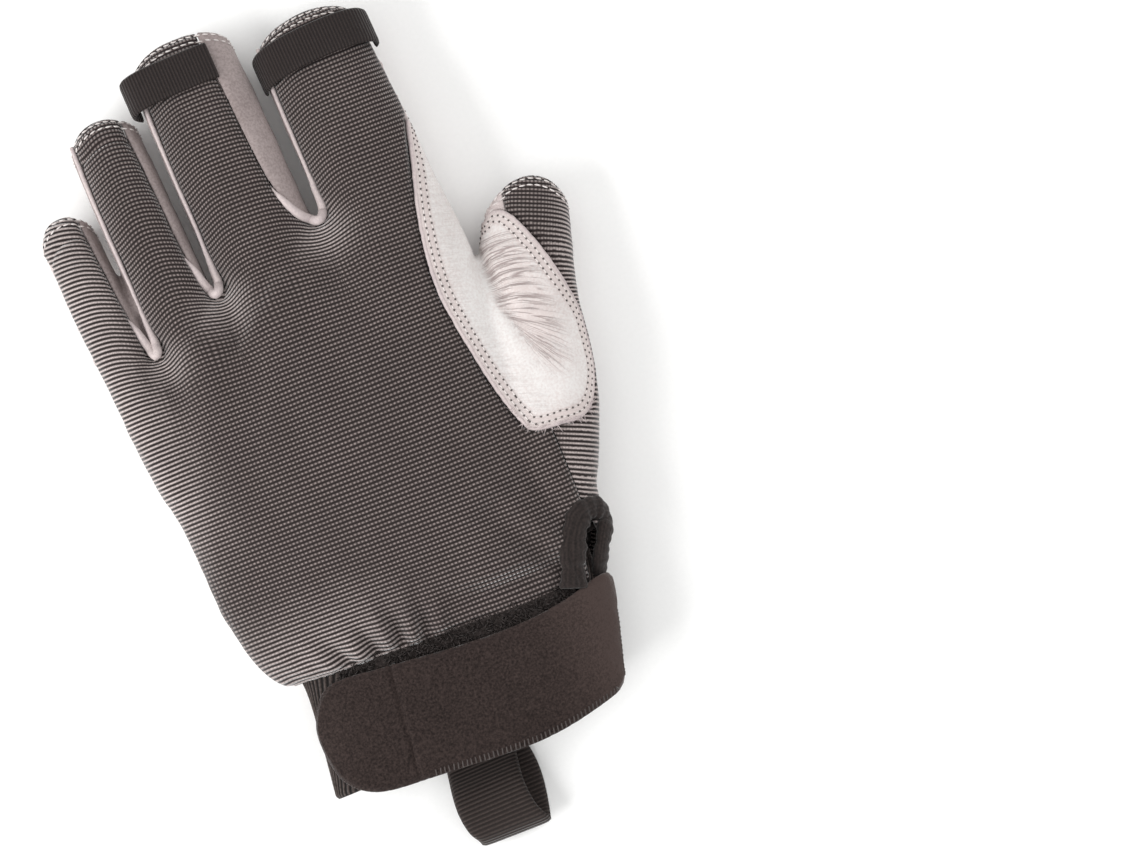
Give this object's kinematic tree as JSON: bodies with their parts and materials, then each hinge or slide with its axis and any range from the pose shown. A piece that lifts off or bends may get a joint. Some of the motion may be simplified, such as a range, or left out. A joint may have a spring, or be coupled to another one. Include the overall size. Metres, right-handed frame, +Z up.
{
  "type": "climbing glove",
  "caption": "Left-hand climbing glove lying palm down: cut-off fingers, woven stretch back, leather palm and thumb web, elastic cuff with closure strap, pull tabs and hanging loop.",
  "frame": {"origin": "on the surface that the glove lies on, under the centre of its bounding box", "axes": "+X towards the thumb, +Y towards the fingertips, +Z up, out of the back of the hand"},
  "size_m": [0.1374, 0.233, 0.0333],
  "materials": {
    "woven_stretch": "ribbed woven nylon stretch, dark warm grey, matt",
    "goat_leather": "pale grey goat leather, fine grain, satin",
    "patch_leather": "pale grey goat leather reinforcement, double stitched edge",
    "ribbed_elastic": "black-brown elastic with diagonal ribs, matt",
    "loop_pile": "dark loop pile, fuzzy",
    "felt_strap": "brushed synthetic felt, dark brown, matt",
    "binding_tape": "padded elastic binding, black-brown",
    "grosgrain": "ribbed grosgrain tape, black-brown",
    "webbing": "ribbed flat webbing, black-brown"
  },
  "bodies": {
    "root": {"woven_back": "woven_stretch", "palm_leather": "goat_leather", "web_patch": "patch_leather", "thumb_gusset": "woven_stretch", "wrist_cuff": "ribbed_elastic", "pile_patch": "loop_pile", "closure_strap": "felt_strap", "vent_binding": "binding_tape", "index_pull_tab": "grosgrain", "middle_pull_tab": "grosgrain", "hang_loop": "webbing", "hang_loop_anchor": "webbing", "fourchette_index_middle": "goat_leather", "fourchette_middle_ring": "goat_leather", "fourchette_ring_little": "goat_leather"}
  },
  "joints": []
}
